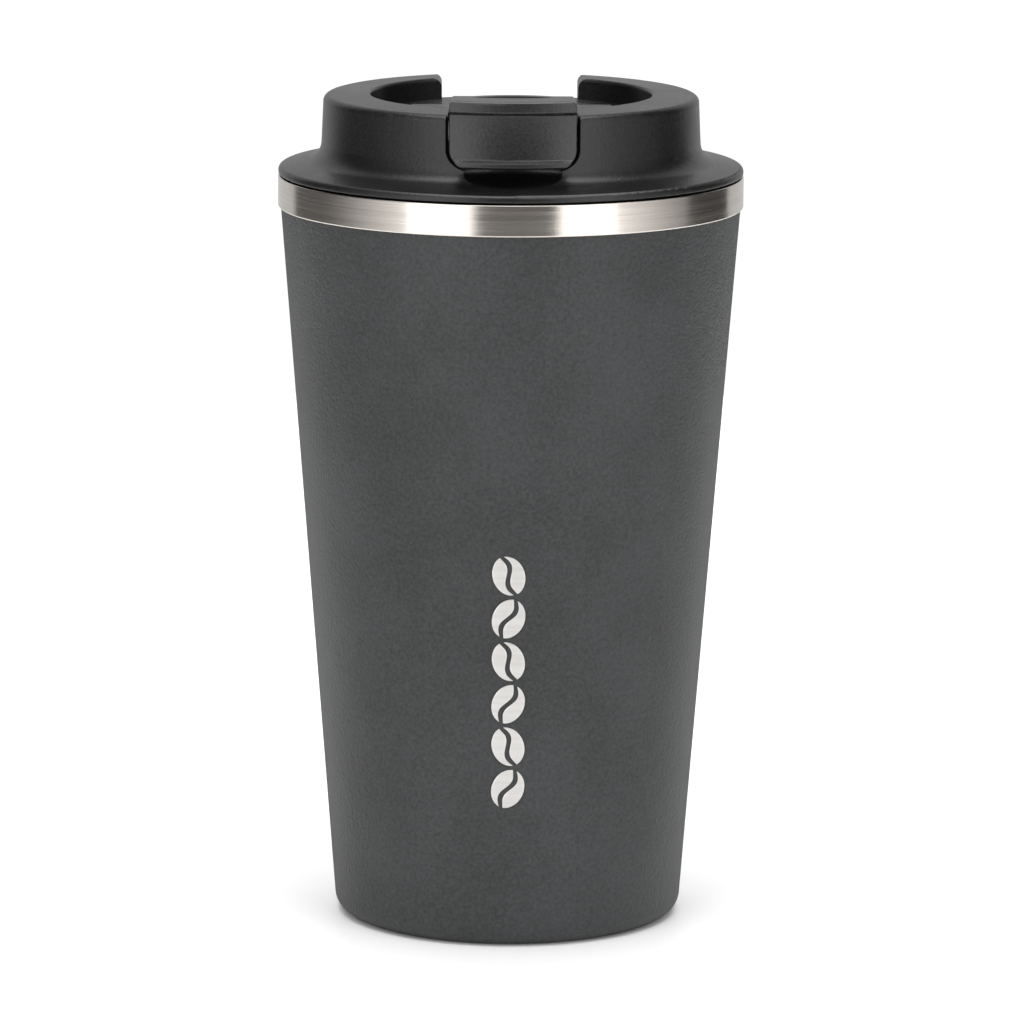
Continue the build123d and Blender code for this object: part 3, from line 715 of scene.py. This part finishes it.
@dataclass
class BeanMark:
    """Column of coffee beans bared through the coat, one above the other on the drinking side."""

    wall: Wall
    count: int = 6
    low: float = 27.2 * MM
    high: float = 77.0 * MM
    half_width: float = 3.15 * MM
    half_height: float = 3.85 * MM
    cleft: float = 0.75 * MM
    sway: float = 0.75 * MM
    tilt: float = radians(20)
    turn: float = radians(-0.6)
    proud: float = 0.035 * MM
    sunk: float = 0.12 * MM
    edge: float = 0.15 * MM
    rim_proud: float = 0.5
    crown_power: int = 8
    rows: int = 49
    across: int = 9

    def half_bean(
        self, name: str, centre: float, side: int, tilt: float, grow: float
    ) -> bpy.types.Object:
        """One closed half of a bean, wrapped on the wall.

        The bean is an ellipse. Its cleft is a sine wave from top to bottom, so each row of the half
        runs from the wave, moved aside by half the cleft, out to the ellipse. Each row goes across
        the face, which stands proud of the coat, and back under the coat.

        Args:
            name: the object's name.
            centre: height of the bean's middle.
            side: +1 for the right half, -1 for the left.
            tilt: turn of the bean in its plane.
            grow: how far the outline is moved outwards, for the dark rim.

        Returns:
            The object.
        """
        width = self.half_width + grow
        tall = self.half_height + grow
        rise = np.sin(np.linspace(-pi / 2, pi / 2, self.rows))
        wave = self.sway * np.sin(pi * rise) + side * (self.cleft / 2 - grow)
        rim = side * width * np.sqrt(np.maximum(0, 1 - rise**2))
        rim = np.where(side * (rim - wave) > 0, rim, wave)
        share = np.linspace(0, 1, self.across)
        face = wave[:, None] + (rim - wave)[:, None] * share
        crown = self.proud * (1 if grow == 0 else self.rim_proud)
        lift = crown * (1 - (2 * share - 1) ** self.crown_power)
        span = np.concatenate([face, face[:, ::-1]], 1)
        depth = np.concatenate([lift, np.full(self.across, -self.sunk)])
        flat = np.stack([span, np.broadcast_to((tall * rise)[:, None], span.shape)], -1)
        spin = np.array([[cos(tilt), sin(tilt)], [-sin(tilt), cos(tilt)]])
        flat = flat @ spin
        height = centre + flat[..., 1]
        radius = self.wall.radius(height) + depth
        angle = flat[..., 0] / radius + self.turn
        points = np.stack([radius * np.sin(angle), -radius * np.cos(angle), height], -1)
        made = mesh_object(name, points.reshape(-1, 3), closed_grid_faces(*span.shape))
        tidy_closed(made)
        return made

    def build(self) -> None:
        """Makes every bean, both halves, with its dark rim, and sets them on the cup."""
        step = (self.high - self.low) / self.count
        for place in range(self.count):
            centre = self.high - step * (place + 0.5)
            tilt = self.tilt * (-1) ** place
            for side, word in ((1, "right"), (-1, "left")):
                for grow, ending in ((0.0, ""), (self.edge, "_rim")):
                    name = f"bean_{place + 1}_{word}{ending}"
                    half = self.half_bean(name, centre, side, tilt, grow)
                    finish = Finishes.MARK_EDGE if grow else Finishes.MARK
                    half.data.materials.append(finish.built())
                    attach(half, "cup")
        LOG.info("bean mark: %d beans", self.count)


def tidy_closed(made: bpy.types.Object) -> None:
    """Merges doubled points of a closed shell and points its faces outwards.

    Args:
        made: the object.
    """
    work = bmesh.new()
    work.from_mesh(made.data)
    bmesh.ops.remove_doubles(work, verts=work.verts, dist=MERGE_DISTANCE)
    bmesh.ops.dissolve_degenerate(work, edges=work.edges, dist=SHORTEST_EDGE)
    bmesh.ops.recalc_face_normals(work, faces=work.faces)
    work.to_mesh(made.data)
    work.free()


# ---------------------------------------------------------------- studio


@dataclass(frozen=True)
class Span:
    """A lit stretch of angle, in degrees, with soft edges."""

    low: float
    high: float
    soft: float

    def over(self, angle: Value) -> Value:
        """One inside the stretch and zero outside."""
        return angle.window(self.low, self.high, self.soft)


@dataclass(frozen=True)
class Slope:
    """A smooth change of brightness over a stretch of angle, in degrees."""

    low: float
    high: float
    start: float = 0.0
    end: float = 1.0

    def over(self, angle: Value) -> Value:
        """Brightness at the angle."""
        return angle.ramp(self.low, self.high, self.start, self.end)


@dataclass(frozen=True)
class Camera:
    """Long lens a little above the mug, looking slightly down at its middle."""

    stand_back: float = 1.2303
    height: float = 0.3085
    pitch: float = 0.1854
    yaw: float = 0.00045
    roll: float = 0.0053
    swing: float = radians(0.6)
    lens: float = 228.7
    sensor: float = 36.0
    farthest: float = 50.0

    def build(self) -> None:
        """Makes the camera and looks through it."""
        data = bpy.data.cameras.new("camera")
        data.lens = self.lens
        data.sensor_width = self.sensor
        data.clip_end = self.farthest
        made = bpy.data.objects.new("camera", data)
        bpy.context.scene.collection.objects.link(made)
        eye = Vector((0.0, -self.stand_back, self.height))
        level = cos(self.pitch)
        ahead = Vector((sin(self.yaw) * level, cos(self.yaw) * level, -sin(self.pitch)))
        turn = ahead.to_track_quat("-Z", "Y").to_matrix().to_4x4()
        made.matrix_world = (
            Matrix.Rotation(-self.swing, 4, "Z")
            @ Matrix.Translation(eye)
            @ turn
            @ Matrix.Rotation(self.roll, 4, "Z")
        )
        bpy.context.scene.camera = made


@dataclass(frozen=True)
class Surroundings:
    """What the mug reflects, by angle round from the front, rightwards, and up from level."""

    left_box: Span = Span(-51.0, -19.0, 5.0)
    right_box: Span = Span(23.0, 51.0, 5.0)
    box_lift: Span = Span(-42.0, 50.0, 14.0)
    box_level: float = 2.3
    flanks: Span = Span(48.0, 134.0, 3.0)
    flank_lift: Slope = Slope(45.0, 75.0, 1.0, 0.4)
    flank_end: float = 108.0
    flank_fade: float = 58.0
    flank_smooth: float = 0.35
    flank_steep: float = 0.8
    flank_least: float = 0.12
    pale_panel: Span = Span(52.0, 97.0, 1.5)
    pale_level: float = 0.16
    dark_panel: Span = Span(97.0, 134.0, 1.5)
    dark_level: float = 0.05
    front: Slope = Slope(16.0, 24.0, 0.15, 0.0)
    wall: Slope = Slope(133.0, 136.0)
    wall_lift: Slope = Slope(22.0, 60.0, 0.66, 0.25)
    overhead: Slope = Slope(54.0, 66.0)
    overhead_level: float = 4.2
    backdrop: float = 1.05

    def build(self) -> None:
        """Lights the scene from a world of named lights, and shows the camera plain white.

        Two soft boxes stand in front. The glow on each flank falls off rightwards and leftwards
        as a smooth step plus a square, with a pale and a dark panel on the right. There is a dim
        card straight ahead, a wall behind and a sheet overhead.
        """
        world = bpy.data.worlds.new("studio")
        bpy.context.scene.world = world
        world.use_nodes = True
        graph = Graph(world.node_tree)
        x, y, z = graph.axes(graph.node("TexCoord").outputs["Generated"])
        degree = 180 / pi
        turn = x.angle_with(0 - y) * degree
        level = (x * x + y * y).root()
        lift = z.angle_with(level) * degree
        side = turn.absolute()
        boxes = self.left_box.over(turn) + self.right_box.over(turn)
        boxes = boxes * self.box_lift.over(lift) * self.box_level
        near = (self.flank_end - side) / self.flank_fade
        fade = near.ramp(0.0, 1.0) * self.flank_smooth
        fade = fade + near.clear() * near.clear() * self.flank_steep + self.flank_least
        panels = self.pale_panel.over(turn) * self.pale_level
        panels = panels - self.dark_panel.over(turn) * self.dark_level
        flank = (fade + panels) * self.flanks.over(side) * self.flank_lift.over(lift)
        front = self.front.over(side)
        back = self.wall.over(side) * self.wall_lift.over(lift)
        top = self.overhead.over(lift) * self.overhead_level
        glow = boxes + flank + front + back + top
        seen = graph.value(graph.node("LightPath").outputs["Is Camera Ray"])
        strength = glow * (1 - seen) + seen * self.backdrop
        light = graph.node("Background", sockets={"Color": grey(1.0), "Strength": strength})
        graph.node("OutputWorld", sockets={"Surface": light.outputs[0]})


@dataclass(frozen=True)
class Floor:
    """Pale seamless paper, a disc round the mug's axis."""

    radius: float = 0.6
    rings: tuple[float, ...] = (0.0, 0.2, 0.6, 1.0)
    sides: int = 96
    drop: float = 0.02 * MM
    level: float = 0.97
    glow: float = 0.02
    cloud_per_metre: float = 30.0
    roughness: float = 0.4
    haze: float = 0.05

    def build(self) -> None:
        """Makes the disc, rings times sides points at radius times (cos turn, sin turn)."""
        turn = np.linspace(0, 2 * pi, self.sides, endpoint=False)
        rings = np.array(self.rings) * self.radius
        flat = rings[:, None, None] * np.stack([np.cos(turn), np.sin(turn)], -1)[None]
        points = np.concatenate([flat, np.full(flat.shape[:2] + (1,), -self.drop)], -1)
        faces = closed_grid_faces(len(rings), len(turn))
        made = mesh_object("floor", points.reshape(-1, 3), faces)
        made.data.materials.append(self.paper())

    def paper(self) -> bpy.types.Material:
        """The paper's material.

        Returns:
            The material.
        """
        made = bpy.data.materials.new("floor_paper")
        made.use_nodes = True
        graph = Graph(made.node_tree)
        cloud = graph.noise(graph.place(), self.cloud_per_metre, detail=2.0)
        shader = graph.node(
            "BsdfPrincipled",
            sockets={
                "Base Color": grey(self.level),
                "Roughness": cloud * self.haze + self.roughness,
                "Emission Color": grey(1.0),
                "Emission Strength": self.glow,
            },
        )
        graph.node("OutputMaterial", sockets={"Surface": shader.outputs[0]})
        return made


@dataclass(frozen=True)
class Studio:
    """Camera, light and floor."""

    camera: Camera = Camera()
    surroundings: Surroundings = Surroundings()
    floor: Floor = Floor()

    def build(self) -> None:
        """Sets the studio up."""
        self.camera.build()
        self.surroundings.build()
        self.floor.build()
        bpy.context.scene.view_settings.view_transform = "Standard"
        LOG.info("studio: camera, surroundings and floor")


# ---------------------------------------------------------------- whole


def main() -> None:
    """Builds the mug's looks around the frame."""
    logging.basicConfig(level=logging.INFO, format="%(name)s: %(message)s")
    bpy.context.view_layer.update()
    Studio().build()
    cup = Dressed(
        "cup",
        {
            "outer_shell": Finishes.COAT,
            "rim_band": Finishes.BAND,
            "inner_liner": Finishes.LINER,
            "liner_bottom": Finishes.LINER,
            "radiation_foil": Finishes.FOIL,
            "vacuum_base": Finishes.LINER,
            "port_solder": Finishes.SOLDER,
            "base_cover": Finishes.BASE,
            "getter": Finishes.GETTER,
            "getter_clip": Finishes.LINER,
        },
    )
    seal = Dressed("seal", {"lid_gasket": Finishes.GASKET})
    lid = Dressed(
        "lid",
        {"lid_cover": Finishes.LID, "lid_plug": Finishes.PLUG, "hinge_pin": Finishes.PIN},
    )
    flap = Dressed("flap", {"flap_lever": Finishes.LEVER, "flap_stopper": Finishes.STOPPER})
    for part in (cup, seal, lid, flap):
        part.dress()
    BeanMark(Wall()).build()


if __name__ == "__main__":
    main()
